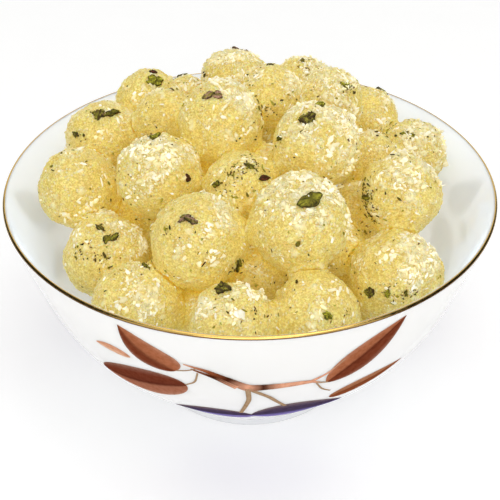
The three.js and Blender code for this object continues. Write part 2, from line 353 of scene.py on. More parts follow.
def eased_corner(before, corner, after, cut, steps=4):
    """A corner rounded off from `cut` before it to `cut` behind it."""
    start = corner + (before - corner) / np.linalg.norm(before - corner) * cut
    end = corner + (after - corner) / np.linalg.norm(after - corner) * cut
    shares = np.linspace(0, 1, steps + 1)
    return [(1 - t) ** 2 * start + 2 * t * (1 - t) * corner + t * t * end for t in shares]


foot_edge = np.array([FOOT_RADIUS, FOOT_HEIGHT], float)
lip_drop = LIP_THICKNESS / 2 * (1 + math.cos(WALL_SLOPE))
rim_edge = np.array([RIM_RADIUS, RIM_HEIGHT - lip_drop])
shoulder_centre = meeting_point(foot_edge, CONE_SLOPE, rim_edge, WALL_SLOPE, SHOULDER_RADIUS)
lip_centre = away_from(rim_edge, WALL_SLOPE, LIP_THICKNESS / 2)
lip_inner_edge = away_from(rim_edge, WALL_SLOPE, LIP_THICKNESS)
SHOULDER_TURN = (CONE_SLOPE - math.pi / 2, WALL_SLOPE - math.pi / 2)


def spaced(line, step):
    """The line with points added so that none are further apart than step."""
    found = [line[0]]
    for a, b in zip(line, line[1:]):
        count = max(1, math.ceil(np.linalg.norm(b - a) / step))
        found += [a + (b - a) * (k + 1) / count for k in range(count)]
    return found


PROFILE_STEP = 2.5
SHOULDER_STEPS, FILLET_STEPS, LIP_STEPS = 16, 8, 10
outer_line = spaced([
    foot_edge,
    *arc_points(shoulder_centre, SHOULDER_RADIUS, *SHOULDER_TURN, SHOULDER_STEPS),
    rim_edge,
], PROFILE_STEP)
outer_array = np.array(outer_line)
inner_foot_edge = away_from(foot_edge, CONE_SLOPE, WALL_THICKNESS)
fillet_centre = meeting_point((0, FLOOR_HEIGHT), 0, inner_foot_edge, CONE_SLOPE, FLOOR_FILLET)
inner_line = spaced([
    np.array([0.0, FLOOR_HEIGHT]),
    *arc_points(fillet_centre, FLOOR_FILLET, -math.pi / 2, SHOULDER_TURN[0], FILLET_STEPS),
    *arc_points(shoulder_centre, SHOULDER_RADIUS - WALL_THICKNESS, *SHOULDER_TURN, SHOULDER_STEPS),
    lip_inner_edge,
], PROFILE_STEP)


def lathe(profile, sides):
    """Points and faces of an outline turned about Z. Ends on the axis become single points."""
    angles = np.arange(sides) * 2 * math.pi / sides
    points, rings = [], []
    for radius, height in profile:
        if radius < 1e-6:
            rings.append([len(points)])
            points.append((0, 0, height))
        else:
            rings.append(list(range(len(points), len(points) + sides)))
            points += [(radius * math.sin(a), -radius * math.cos(a), height) for a in angles]
    faces = []
    for low, high in zip(rings, rings[1:]):
        for k in range(sides):
            n = (k + 1) % sides
            if len(low) == 1:
                faces.append((low[0], high[n], high[k]))
            elif len(high) == 1:
                faces.append((low[k], low[n], high[0]))
            else:
                faces.append((low[k], low[n], high[n], high[k]))
    return np.array(points), faces


recess_edge = np.array([FOOT_RADIUS - FOOT_WIDTH - FOOT_RECESS, FOOT_RECESS], float)
foot_inner = np.array([FOOT_RADIUS - FOOT_WIDTH, 0.0])
foot_outer = np.array([FOOT_RADIUS, 0.0])
bowl_profile = [
    np.array([0.0, FOOT_RECESS]),
    *eased_corner(np.array([0.0, FOOT_RECESS]), recess_edge, foot_inner, 0.8),
    *eased_corner(recess_edge, foot_inner, foot_outer, 0.6),
    *eased_corner(foot_inner, foot_outer, foot_edge, 0.5),
    *eased_corner(foot_outer, foot_edge, outer_line[1], 0.9),
    *outer_line[1:-1],
    *arc_points(lip_centre, LIP_THICKNESS / 2, SHOULDER_TURN[1], SHOULDER_TURN[1] + math.pi,
                LIP_STEPS),
    *inner_line[:-1][::-1],
]

china = Nodes("china", Roughness=0.09, IOR=1.52, Subsurface_Weight=0.8, Subsurface_Scale=0.0045)
china.shader.inputs["Subsurface Radius"].default_value = (1.0, 1.0, 1.0)
china_body = china.mix(china.noise(60.0, 3.0), rgb(239, 240, 243), rgb(235, 236, 241))
china_wave = china.bump(china.noise(45.0, 1.0), 0.12, 0.0006)
# Painted light: the inner wall glows a little, standing in for light through thin china.
china_painted_glow = china.maths("MULTIPLY", china.attribute("inside"), 0.3)
china_material = china.finish(Base_Color=china_body, Normal=china_wave,
                              Emission_Strength=china_painted_glow, Emission_Color=rgb(196, 222, 255))

bowl_points, bowl_faces = lathe(bowl_profile, BOWL_SIDES)
wall_middle = np.interp(bowl_points[:, 2], outer_array[:, 1], outer_array[:, 0])
wall_middle -= WALL_THICKNESS / 2
is_inside = np.hypot(bowl_points[:, 0], bowl_points[:, 1]) < wall_middle
is_inside &= bowl_points[:, 2] > FLOOR_HEIGHT - 1
bowl = new_piece("china_bowl", bowl_points, bowl_faces, china_material,
                 {"inside": is_inside.astype(float)})
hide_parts("bowl")

# Gold on the lip: a thin band over its top. Its lower edge is darker and wavers a little, as if
# brushed on.
GOLD_SIDES = 256
GOLD_STEPS = 12
GOLD_LIFT = 0.05
GOLD_START = math.radians(14)  # on the lip's outside, from where the wall ends
GOLD_END = math.radians(115)  # past the top
GOLD_WAVER = 0.15
GOLD_EDGE = (1.0, 1.0, 1.0, 0.85, 0.5, 0.2)  # darkness of the first points of its section


def gold_band():
    """Points and faces of the band round the lip, and how dark each point is."""
    wall = SHOULDER_TURN[1]
    band_radius = LIP_THICKNESS / 2 + GOLD_LIFT
    angles = np.arange(GOLD_SIDES) * 2 * math.pi / GOLD_SIDES
    round_points = np.stack([np.cos(angles), np.sin(angles), np.zeros(GOLD_SIDES)], axis=1)
    waver = smooth_noise(round_points * 10, 1.3, 5) - 0.5
    points, faces, edge = [], [], []
    for angle, shift in zip(angles, waver):
        start = wall + GOLD_START + GOLD_WAVER * shift
        arc = arc_points(lip_centre, band_radius, start, wall + GOLD_END, GOLD_STEPS)
        first, last = (end * 0.8 + lip_centre * 0.2 for end in (arc[0], arc[-1]))
        section = [first, *arc, last, lip_centre]
        points += [(r * math.sin(angle), -r * math.cos(angle), z) for r, z in section]
        edge += [*GOLD_EDGE, *[0.0] * (len(section) - len(GOLD_EDGE))]
    count = len(points) // GOLD_SIDES
    for k in range(GOLD_SIDES):
        n = (k + 1) % GOLD_SIDES
        for j in range(count):
            m = (j + 1) % count
            faces.append((k * count + j, n * count + j, n * count + m, k * count + m))
    return points, faces, edge


gold = Nodes("gold", Metallic=1.0)
gold_tone = gold.mix(gold.noise(300.0, 3.0), rgb(244, 210, 126), rgb(226, 184, 98))
gold_tone = gold.mix(gold.attribute("edge"), gold_tone, rgb(84, 34, 18))
gold_rough = gold.ramp(gold.noise(900.0, 2.0), 0.3, 0.7, 0.12, 0.26)
gold_material = gold.finish(Base_Color=gold_tone, Roughness=gold_rough,
                            Normal=gold.bump(gold.noise(1500.0), 0.2, 0.00005))
band_points, band_faces, band_edge = gold_band()
new_piece("gold_rim", band_points, band_faces, gold_material, {"edge": band_edge})


# ---- Printed sprig --------------------------------------------------------------------------

outer_steps = np.linalg.norm(np.diff(outer_array, axis=0), axis=1)
outer_arc = np.concatenate([[0], np.cumsum(outer_steps)])
PRINT_LIFT = 0.03
SLOPE_STEP = 0.5  # how far to each side the wall's slope is measured


def on_wall(climb):
    """Radius and height of the outer wall at that length up it from the foot."""
    return [np.interp(climb, outer_arc, outer_array[:, k]) for k in range(2)]


def wall_points(bearing, climb, lift):
    """Points that lift off the outer wall, from bearings in degrees and lengths up the wall."""
    radius, height = on_wall(climb)
    ahead, rise = on_wall(climb + SLOPE_STEP)
    back, fall = on_wall(climb - SLOPE_STEP)
    slope = np.arctan2(rise - fall, ahead - back)
    radius = radius + np.sin(slope) * lift
    height = height - np.cos(slope) * lift
    turn = np.radians(bearing)
    return np.stack([radius * np.sin(turn), -radius * np.cos(turn), height], axis=-1)


def climb_of(height):
    return np.interp(height, outer_array[:, 1], outer_arc)


def radius_of(height):
    return np.interp(height, outer_array[:, 1], outer_array[:, 0])


BROWN = (rgb(170, 104, 72), rgb(120, 60, 38), rgb(84, 38, 24))
DUSK = (rgb(114, 56, 38), rgb(166, 108, 84), rgb(78, 36, 26))
PEACH = (rgb(226, 178, 148), rgb(216, 156, 124), rgb(202, 140, 108))
FADED = (rgb(168, 112, 80), rgb(138, 76, 46), rgb(108, 56, 34))
INDIGO = (rgb(74, 62, 88), rgb(134, 124, 192), rgb(60, 50, 76))

# Leaves: bearing and height of the stalk end, of the tip, how far the midrib bows to its left,
# half widths left and right of it, how round the two ends are, and colours left, right and rib.
LEAVES = [
    (-16.9, 53.5, -27.6, 69.6, 3.4, 4.8, 7.4, 0.5, 0.95, (BROWN[1], BROWN[0], BROWN[2])),
    (-28.0, 54.0, -38.0, 54.2, -0.8, 1.9, 1.9, 0.6, 0.8, PEACH),
    (-15.0, 46.8, -42.0, 37.0, 0.4, 7.0, 7.6, 0.5, 0.55, (DUSK[1], DUSK[0], DUSK[2])),
    (18.2, 47.0, 33.6, 69.6, -1.0, 6.0, 6.6, 0.75, 1.0, BROWN),
    (21.0, 36.5, 42.0, 42.4, 0.6, 3.8, 4.4, 0.5, 0.9, FADED),
    (1.0, 26.0, -24.0, 24.0, -1.0, 15.5, 9.5, 0.45, 0.6, (INDIGO[1], INDIGO[0], INDIGO[2])),
    (0.5, 26.0, 28.0, 28.5, 1.0, 11.5, 16.0, 0.5, 0.75, INDIGO),
]
SPRIG_TURNS = (0, 120, 240)
LEAF_STEPS = 26
LEAF_HALF_STEPS = 5
RIB_WIDTH = 0.12


def leaf_sheet(leaf, turn, lift):
    """A painted leaf on the wall, turned by that many degrees: points, faces and tints."""
    base_bearing, base_height, tip_bearing, tip_height, *form, colours = leaf
    bow, left, right, stalk_end, tip_end = form
    radius = radius_of((base_height + tip_height) / 2)
    base = np.array([math.radians(base_bearing) * radius, climb_of(base_height)])
    tip = np.array([math.radians(tip_bearing) * radius, climb_of(tip_height)])
    length = np.linalg.norm(tip - base)
    along = (tip - base) / length
    across = np.array([-along[1], along[0]])
    shares = (1 - np.cos(np.linspace(0, math.pi, LEAF_STEPS))) / 2
    fullness = shares ** stalk_end * (1 - shares) ** tip_end
    fullness = fullness / fullness.max()
    sides = np.linspace(-1, 1, 2 * LEAF_HALF_STEPS + 1)
    share, side = (grid.ravel() for grid in np.meshgrid(shares, sides, indexing="ij"))
    full = np.interp(share, shares, fullness)
    width = np.where(side > 0, left, right)
    flat = base + along * (share * length)[:, None]
    flat = flat + across * (bow * np.sin(math.pi * share) + side * width * full)[:, None]
    points = wall_points(np.degrees(flat[:, 0] / radius) + turn, flat[:, 1], lift)
    rib = np.exp(-np.abs(side) / RIB_WIDTH)[:, None] * 0.6
    body = np.where(side[:, None] > 0, colours[0], colours[1])
    fade = smooth_step(0.7, 1, np.abs(side))[:, None] * 0.22
    tints = body * (1 - rib) + np.array(colours[2]) * rib
    tints = tints * (1 - fade) + fade * np.array(rgb(235, 205, 185))
    columns = len(sides)
    faces = [
        (i * columns + j, (i + 1) * columns + j, (i + 1) * columns + j + 1, i * columns + j + 1)
        for i in range(LEAF_STEPS - 1) for j in range(columns - 1)
    ]
    return points, faces, tints


STROKE_STEP = 0.6
STROKE_SMOOTHINGS = 6
STROKE_SHADES = (0.8, 1.1, 0.95)  # of its left edge, middle and right edge


def strip_sheet(path, widths, colours, turn, lift):
    """A painted line through bearings and heights, with a width and colour at each."""
    path = np.array(path, float)
    radius = radius_of(path[:, 1].mean())
    knots = np.stack([np.radians(path[:, 0]) * radius, climb_of(path[:, 1])], axis=1)
    spans = np.concatenate([[0], np.cumsum(np.linalg.norm(np.diff(knots, axis=0), axis=1))])
    spots = np.linspace(0, spans[-1], max(8, int(spans[-1] / STROKE_STEP)))
    line = np.stack([np.interp(spots, spans, knots[:, k]) for k in range(2)], axis=1)
    for _ in range(STROKE_SMOOTHINGS):
        line[1:-1] = (line[:-2] + 2 * line[1:-1] + line[2:]) / 4
    width = np.interp(spots, spans, widths)
    tone = np.stack([np.interp(spots, spans, np.array(colours)[:, k]) for k in range(3)], axis=1)
    along = np.gradient(line, axis=0)
    along /= np.linalg.norm(along, axis=1)[:, None]
    across = np.stack([-along[:, 1], along[:, 0]], axis=1)
    sides = np.array([-0.5, 0.0, 0.5])
    flat = line[:, None, :] + across[:, None, :] * (width[:, None] * sides)[:, :, None]
    flat = flat.reshape(-1, 2)
    points = wall_points(np.degrees(flat[:, 0] / radius) + turn, flat[:, 1], lift)
    faces = [
        (i * 3 + j, (i + 1) * 3 + j, (i + 1) * 3 + j + 1, i * 3 + j + 1)
        for i in range(len(line) - 1) for j in range(2)
    ]
    shade = np.tile(STROKE_SHADES, len(line))[:, None]
    return points, faces, np.repeat(tone, 3, axis=0) * shade


UMBER = rgb(62, 26, 14)
RUST = rgb(150, 84, 54)
SKIN = rgb(226, 166, 136)
STRAW = rgb(170, 142, 112)

# Twigs: bearings and heights on the way, widths and colours there.
TWIGS = [
    ([(-14.5, 58.0), (-9.5, 56.2), (-4.8, 52.3), (-0.5, 48.4),
      (3.2, 48.8), (7.0, 49.1), (11.5, 49.4), (15.0, 49.2)],
     [0.5, 1.6, 2.8, 3.6, 3.0, 2.6, 2.2, 1.4], [SKIN, RUST, UMBER, SKIN, UMBER, SKIN, SKIN, SKIN]),
    ([(-13.0, 56.2), (-8.0, 53.4), (-3.0, 48.6)], [0.6, 1.5, 1.8], [RUST, UMBER, SKIN]),
    ([(14.2, 49.4), (17.8, 52.0), (21.2, 57.5)], [1.3, 0.8, 0.3], [SKIN, SKIN, STRAW]),
    ([(14.8, 49.0), (16.8, 47.6), (18.6, 47.2)], [1.1, 0.7, 0.6], [SKIN, STRAW, STRAW]),
    ([(15.6, 48.0), (17.4, 44.0), (20.2, 41.5)], [0.5, 0.6, 0.5], [STRAW] * 3),
    ([(-0.5, 48.0), (-0.2, 42.0), (-2.6, 30.5)], [1.5, 1.4, 1.2], [STRAW] * 3),
    ([(-0.3, 48.0), (4.6, 43.4), (9.2, 36.0)], [1.4, 1.3, 1.1], [STRAW] * 3),
    ([(-16.6, 54.0), (-14.2, 54.8), (-12.0, 56.4)], [0.5, 0.5, 0.5], [STRAW] * 3),
    ([(-15.2, 47.2), (-12.6, 49.4), (-11.6, 54.6)], [0.5, 0.6, 0.5], [STRAW] * 3),
]


def joined(sheets):
    """Several sheets of points, faces and tints in one."""
    points, faces, tints, start = [], [], [], 0
    for own_points, own_faces, own_tints in sheets:
        points.append(own_points)
        faces += [tuple(start + v for v in face) for face in own_faces]
        tints.append(own_tints)
        start += len(own_points)
    return np.concatenate(points), faces, np.concatenate(tints)


def print_material():
    nodes = Nodes("print", Roughness=0.12, IOR=1.5, Specular_IOR_Level=0.0)
    tint = nodes.attribute("tint", "Color")
    streak = nodes.noise(700.0, 4.0, 0.7)
    darker = nodes.mix(1.0, tint, (0.76, 0.68, 0.62), "MULTIPLY")
    colour = nodes.mix(nodes.ramp(streak, 0.35, 0.7), tint, darker)
    return nodes.finish(Base_Color=colour)


sprig_sheets = [leaf_sheet(leaf, turn, PRINT_LIFT) for turn in SPRIG_TURNS for leaf in LEAVES]
sprig_sheets += [strip_sheet(*twig, turn, 2 * PRINT_LIFT)
                 for turn in SPRIG_TURNS for twig in TWIGS]
points, faces, tints = joined(sprig_sheets)
new_piece("sprig_print", points, faces, print_material(), tints=tints)

# ---- Sweets ---------------------------------------------------------------------------------

PRESS_SOFTNESS = 0.12
SHOWN_LEVEL, REAR_LEVEL, UNDER_LEVEL = 6, 5, 4


def icosphere(level):
    """Points and triangles of a ball of radius 1."""
    work = bmesh.new()
    bmesh.ops.create_icosphere(work, subdivisions=level, radius=1.0)
    points = np.array([v.co[:] for v in work.verts])
    faces = np.array([[v.index for v in f.verts] for f in work.faces])
    work.free()
    return points, faces


def ball(level):
    points, faces = icosphere(level)
    return points / np.linalg.norm(points, axis=1)[:, None], faces


balls = {level: ball(level) for level in (SHOWN_LEVEL, REAR_LEVEL, UNDER_LEVEL)}


def seeded_random(seed):
    """The CAD source's row of numbers from 0 to 1."""
    state = seed
    while True:
        state = (state * 1664525 + 1013904223) % 2 ** 32
        yield state / 2 ** 32


def hollows(seed):
    """The CAD source's broad shallow hollows: the share of the radius left in each direction."""
    random = seeded_random(seed)
    waves = []
    for _ in range(5):
        axis = np.array([next(random) - 0.5 for _ in range(3)])
        rate = 1.5 + 2.5 * next(random)
        waves.append((axis / np.linalg.norm(axis), rate, 2 * math.pi * next(random)))

    def share(direction):
        total = sum(np.sin(rate * (direction @ axis) + phase) for axis, rate, phase in waves)
        return 1 - DENT_DEPTH * (1 + total / len(waves)) / 2

    return share


FIT_WIDTHS = (3, 2, 1, 0.5, 0.3, 0.2, 0.1, 0.05, 0.05, 0.05)  # larger misses count for little


def fitted_centre(points, radius, share):
    """Centre of the sweet whose CAD corners these are, passing over flats and slices."""
    centre = (points.min(axis=0) + points.max(axis=0)) / 2
    for width in FIT_WIDTHS:
        away = points - centre
        distance = np.linalg.norm(away, axis=1)
        direction = away / distance[:, None]
        miss = distance - radius * share(direction)
        pull = (direction * np.exp(-((miss / width) ** 2))[:, None]).T
        centre = centre + np.linalg.solve(pull @ direction, pull @ miss)
    return centre


class Sweet:
    """One sweet: where its CAD node lies, and how large, hollowed and crumbed it is."""

    def __init__(self, name, seed, diameter, cover, level):
        self.name = name
        self.seed = seed
        self.radius = diameter / 2
        self.cover = cover
        self.level = level
        self.share = hollows(seed)
        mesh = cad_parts[f"petha_{name}"].data
        corners = np.array([v.co[:] for v in mesh.vertices]) / MM
        self.centre = fitted_centre(corners, self.radius, self.share)


def detail_level(name):
    return REAR_LEVEL if name.startswith(("rear", "core")) else SHOWN_LEVEL


sweets = [Sweet(name, index + 1, diameter, cover, detail_level(name))
          for index, (name, diameter, cover) in enumerate(PLACED_SWEETS)]
under_names = [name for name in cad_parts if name.startswith("petha_under_")]
for number in range(1, len(under_names) + 1):
    sweets.append(Sweet(f"under_{number}", len(sweets) + 1, UNDER_DIAMETER, 0.15, UNDER_LEVEL))
sweet_named = {sweet.name: sweet for sweet in sweets}
centres = np.array([sweet.centre for sweet in sweets])
radii = np.array([sweet.radius for sweet in sweets])

COAT_CRUMB = 1.7  # size of the crumbs that show as relief
COAT_HEIGHT = 0.62
SUGAR_CRUMB = 0.95
SUGAR_HEIGHT = 0.34
LUMP_SIZE = 6
LUMP_HEIGHT = 1.2
GRAIN_SIZE = 2.6
FINE_GRAIN_SIZE = 1.2
GRAIN_HEIGHT = 0.55
CLEAR_OF_NEIGHBOUR = 1.0
WELD_REACH = 4.4  # sweets nearer than this run together
FAR = 1e3
LEAST_FACING = 0.2  # least cosine at which a neighbour presses
HOLLOW_SHADE = 0.8
HOLLOW_REACH = 2.9
BROAD_PATCH = 7.5
FINE_PATCH = 3.2
COAT_FROM = 0.78  # noise at which the coat starts on an uncovered sweet, and where it is full
COAT_TO = 1.05
COVER_WEIGHT = 0.45
WARP_SIZE = 1.4
WARP_REACH = 1.2


def weld_rise(gap):
    """How far a surface rises to run into a neighbour at that gap."""
    near = np.clip(gap, WELD_REACH / 2, WELD_REACH)
    blend = (near - np.sqrt(WELD_REACH * (2 * near - WELD_REACH))) / 2
    return np.where(gap < WELD_REACH / 2, np.clip(gap, 0, None) / 2, blend)


def pressed(sweet, unit):
    """Reach of the sweet in each direction, flattened softly where it meets a neighbour."""
    reach = sweet.radius * sweet.share(unit)
    for centre, radius in zip(centres, radii):
        apart = centre - sweet.centre
        distance = np.linalg.norm(apart)
        if distance == 0 or distance > sweet.radius + radius + CONTACT_GAP:
            continue
        squares = distance ** 2 + sweet.radius ** 2 - radius ** 2
        depth = squares / (2 * distance) - CONTACT_GAP / 2
        facing = unit @ (apart / distance)
        limit = np.where(facing > LEAST_FACING, depth / np.maximum(facing, LEAST_FACING), FAR)
        spread = np.exp(-np.abs(reach - limit) / PRESS_SOFTNESS)
        reach = np.minimum(reach, limit) - PRESS_SOFTNESS * np.log1p(spread)
    return reach


def gaps_to_others(points, sweet):
    """Distance from each point to the ball of every other sweet."""
    gaps = np.linalg.norm(points[:, None, :] - centres[None], axis=2) - radii[None]
    gaps[:, sweets.index(sweet)] = FAR
    return gaps


def sweet_surface(sweet):
    """Points and faces of one sweet. For each point: how shut in, white and crumbed, 0 to 1."""
    unit, faces = balls[sweet.level]
    seed = sweet.seed
    bare = sweet.centre + unit * pressed(sweet, unit)[:, None]
    gaps = gaps_to_others(bare, sweet)
    gap = gaps.min(axis=1)
    shade = HOLLOW_SHADE * np.exp(-np.clip(gaps, 0, None) / HOLLOW_REACH)
    hollow = 1 - np.prod(1 - shade, axis=1)
    patch = smooth_noise(bare, BROAD_PATCH, seed) * 0.6
    patch = patch + smooth_noise(bare, FINE_PATCH, seed + 99) * 0.4
    # More crumb coat on the tops and right sides; on the right sides it is partly painted light.
    crumb_and_light_lean = 0.3 * (unit[:, 2] - 0.35) + 0.1 * unit[:, 0]
    bared = COVER_WEIGHT * sweet.cover
    dust = smooth_step(COAT_FROM - bared, COAT_TO - bared, patch + crumb_and_light_lean)
    dust = dust * (1 - 0.6 * hollow)
    room = smooth_step(0.3, CLEAR_OF_NEIGHBOUR, gap)
    bare = bare + unit * weld_rise(gap)[:, None]
    warp = np.stack([smooth_noise(bare, WARP_SIZE, seed + 20 + k) for k in range(3)], axis=1)
    warp = warp * WARP_REACH
    if sweet.level == UNDER_LEVEL:
        crumbs = sugar = np.zeros(len(bare))
    else:
        crumbs = crumb_height(bare + warp, COAT_CRUMB, dust * 0.65 + 0.05, seed + 7)
        sugar = crumb_height(bare + warp * 0.5, SUGAR_CRUMB, 0.42 + 0.4 * dust, seed + 31)
    grain = smooth_noise(bare, GRAIN_SIZE, seed + 55) - 0.5
    grain = grain + 0.6 * (smooth_noise(bare, FINE_GRAIN_SIZE, seed + 56) - 0.5)
    lumps = smooth_noise(bare, LUMP_SIZE, seed + 40) - 0.5
    relief = COAT_HEIGHT * crumbs + SUGAR_HEIGHT * sugar
    relief = relief + GRAIN_HEIGHT * grain + LUMP_HEIGHT * lumps
    rise = room * relief
    white = np.clip(0.12 * dust + 0.8 * crumbs * room + (0.12 + 0.42 * dust) * sugar, 0, 1)
    return bare + unit * rise[:, None], faces, hollow, white, dust


petha = Nodes("petha", IOR=1.42, Subsurface_Scale=0.004)
petha.shader.inputs["Subsurface Radius"].default_value = (1.0, 0.7, 0.3)
hollow_shade_and_glow = petha.attribute("hollow")
white_value = petha.attribute("white")
dust_value = petha.attribute("dust")
broad_tone = petha.ramp(petha.noise(260.0, 3.0, 0.6), 0.3, 0.7)
fine_tone = petha.ramp(petha.noise(1500.0, 4.0, 0.75), 0.44, 0.6, 0.0, 0.6)
syrup = petha.mix(broad_tone, rgb(220, 194, 94), rgb(232, 214, 126))
syrup = petha.mix(fine_tone, syrup, rgb(245, 232, 160))
# Painted shade: a deeper amber where the sweets crowd together, standing in for light bounced and
# scattered in the hollows.
syrup_and_painted_shade = petha.mix(petha.ramp(hollow_shade_and_glow, 0.3, 1.0), syrup, rgb(232, 202, 52))
crystal_value, _ = petha.cells(2500.0)
crystal_tone = petha.ramp(crystal_value, 0.0, 1.0)
crystal_tint = petha.mix(crystal_tone, (0.82, 0.76, 0.6), (1.12, 1.14, 1.26))
syrup_and_painted_shade = petha.mix(1.0, syrup_and_painted_shade, crystal_tint, "MULTIPLY")
speck_value, speck_distance = petha.cells(1150.0)
speck_share = petha.maths("ADD", petha.maths("MULTIPLY", dust_value, 0.6), 0.22)
crumb_on = petha.maths("LESS_THAN", speck_value, speck_share)
crumb_dome = petha.ramp(speck_distance, 0.62, 0.2)
fine_crumb = petha.maths("MULTIPLY", crumb_on, crumb_dome)
whiteness = petha.maths("MAXIMUM", white_value, petha.maths("MULTIPLY", fine_crumb, 0.8))
coat_colour = petha.mix(petha.noise(1800.0, 2.0), rgb(247, 238, 186), rgb(252, 247, 216))
petha_colour = petha.mix(whiteness, syrup_and_painted_shade, coat_colour)
petha_rough = petha.ramp(whiteness, 0.0, 0.7, 0.32, 0.75)
petha_depth = petha.ramp(whiteness, 0.1, 0.8, 1.0, 0.25)
grain_bump = petha.bump(petha.noise(2200.0, 4.0, 0.7), 0.7, 0.0003)
crumb_bump = petha.bump(fine_crumb, 0.9, 0.0006, grain_bump)
# Painted light: the sweets glow, more in the hollows between them, standing in for light that
# shines through them.
petha_painted_glow = petha.mix(hollow_shade_and_glow, rgb(232, 208, 108), rgb(214, 182, 30))
painted_glow_strength = petha.maths("ADD", petha.maths("MULTIPLY", hollow_shade_and_glow, 0.2), 0.1)
petha_material = petha.finish(Base_Color=petha_colour, Roughness=petha_rough, Normal=crumb_bump,
                              Subsurface_Weight=petha_depth, Emission_Color=petha_painted_glow,
                              Emission_Strength=painted_glow_strength)

surfaces = {}
for sweet in sweets:
    points, faces, hollow, white, dust = sweet_surface(sweet)
    surfaces[sweet.name] = (points, hollow, dust)
    piece = new_piece(f"sweet_{sweet.name}", points, faces, petha_material,
                      {"hollow": hollow, "white": white, "dust": dust})
    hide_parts(f"petha_{sweet.name}")


# ---- Loose crumbs and chips -----------------------------------------------------------------

STONE, STONE_FACES = icosphere(1)
SKIN_LINE = 55  # no loose crumb is put lower than this
CRUMB_ROOM = 0.4  # nor nearer than this to a neighbour
LOWEST_NORMAL = -0.35
SIZE_SPREAD = 0.25


def open_spots():
    """Every point that a crumb could lie on, with its normal, hollow and dust."""
    spots, normals, shut, dusty = [], [], [], []
    for sweet in sweets:
        if sweet.level == UNDER_LEVEL:
            continue
        points, hollow, dust = surfaces[sweet.name]
        normal = points - sweet.centre
        normal /= np.linalg.norm(normal, axis=1)[:, None]
        free = gaps_to_others(points, sweet).min(axis=1) > CRUMB_ROOM
        free &= (points[:, 2] > SKIN_LINE) & (normal[:, 2] > LOWEST_NORMAL)
        weight = 4 ** (SHOWN_LEVEL - sweet.level)  # a coarser ball has fewer points to lie on
        chosen = np.repeat(np.flatnonzero(free), weight)
        spots.append(points[chosen])
        normals.append(normal[chosen])
        shut.append(hollow[chosen])
        dusty.append(dust[chosen])
    return [np.concatenate(part) for part in (spots, normals, shut, dusty)]


SPOTS, SPOT_NORMALS, SPOT_HOLLOW, SPOT_DUST = open_spots()


def direction_of(bearing, height):
    """Unit vector at that bearing and height, as the CAD source's slices have it."""
    around, rise = math.radians(bearing), math.radians(height)
    level = math.cos(rise)
    return np.array([math.sin(around) * level, -math.cos(around) * level, math.sin(rise)])


def scatter(name, count, chance, sizes, colours, material, seed, tilt, sunk,
            clumps=(), spread=1.0):
    """Loose bits over the heap: sizes is (least, most) for length, width and thickness.

    They lean by tilt and sink into the skin by the share sunk. Each clump is a sweet, a bearing
    and height on it, and a number of bits that lie within about spread of there."""
    random = np.random.default_rng(seed)
    share = chance / chance.sum()
    picked = random.choice(len(SPOTS), size=count, replace=False, p=share)
    places, normals = SPOTS[picked], SPOT_NORMALS[picked]
    for owner, bearing, height, number in clumps:
        sweet = sweet_named[owner]
        outward = direction_of(bearing, height)
        near = np.linalg.norm(SPOTS - sweet.centre - outward * sweet.radius, axis=1)
        odds = np.exp(-((near / spread) ** 2)) + 1e-12
        more = random.choice(len(SPOTS), size=number, replace=False, p=odds / odds.sum())
        places = np.concatenate([places, SPOTS[more]])
        normals = np.concatenate([normals, SPOT_NORMALS[more]])
    total = len(places)
    facing = normals + random.normal(0, tilt, (total, 3))
    facing /= np.linalg.norm(facing, axis=1)[:, None]
    long_side = np.cross(facing, random.normal(0, 1, (total, 3)))
    long_side /= np.linalg.norm(long_side, axis=1)[:, None]
    short_side = np.cross(facing, long_side)
    scale = np.stack([random.uniform(low, high, total) for low, high in sizes], axis=1) / 2
    scale *= random.lognormal(0, SIZE_SPREAD, (total, 1))
    lumps = STONE[None] * random.uniform(0.7, 1.25, (total, len(STONE), 1))
    lumps = lumps * scale[:, None, :]
    world_points = (
        lumps[:, :, :1] * long_side[:, None, :]
        + lumps[:, :, 1:2] * short_side[:, None, :]
        + lumps[:, :, 2:] * facing[:, None, :]
    )
    lift = scale[:, 2:] * (1 - sunk)
    world_points = world_points + (places + normals * lift)[:, None, :]
    starts = np.arange(total) * len(STONE)
    faces = (STONE_FACES[None] + starts[:, None, None]).reshape(-1, 3)
    pick = random.integers(0, len(colours), total)
    tone = np.array(colours)[pick] * random.uniform(0.8, 1.15, (total, 1))
    tints = np.repeat(np.clip(tone, 0, 1), len(STONE), axis=0)
    new_piece(name, world_points.reshape(-1, 3), faces, material, tints=tints, smooth=False)


def bit_material(name, roughness, grain, darken, **settings):
    """A grainy material of each bit's own tint, darker by that share in patches."""
    nodes = Nodes(name, Roughness=roughness, **settings)
    tint = nodes.attribute("tint", "Color")
    deeper = nodes.mix(1.0, tint, (darken, darken, darken * 0.9), "MULTIPLY")
    colour = nodes.mix(nodes.ramp(nodes.noise(grain, 3.0, 0.6), 0.35, 0.65), tint, deeper)
    bumps = nodes.bump(nodes.noise(grain * 1.5), 0.4, 0.0001)
    return nodes.finish(Base_Color=colour, Normal=bumps)


# The white crumbs carry a painted glow, so they stay bright in shade.
crumb_material = bit_material("white_crumb", 0.7, 1600.0, 0.92, Emission_Color=rgb(255, 236, 176),
                              Emission_Strength=0.16)
# The nut bits carry a faint painted glow, standing in for light through the nut.
nut_material = bit_material("pistachio", 0.6, 1700.0, 0.6, Specular_IOR_Level=0.2,
                            Emission_Color=rgb(150, 130, 36), Emission_Strength=0.05)

WHITES = [rgb(253, 248, 226), rgb(250, 242, 206), rgb(246, 234, 186), rgb(255, 252, 240)]
GREENS = [
    rgb(170, 160, 44), rgb(146, 136, 36), rgb(116, 104, 30), rgb(188, 182, 72), rgb(88, 76, 24),
]
DARKS = [
    rgb(40, 30, 14), rgb(62, 52, 20), rgb(92, 46, 30), rgb(28, 22, 12), rgb(88, 64, 22),
]

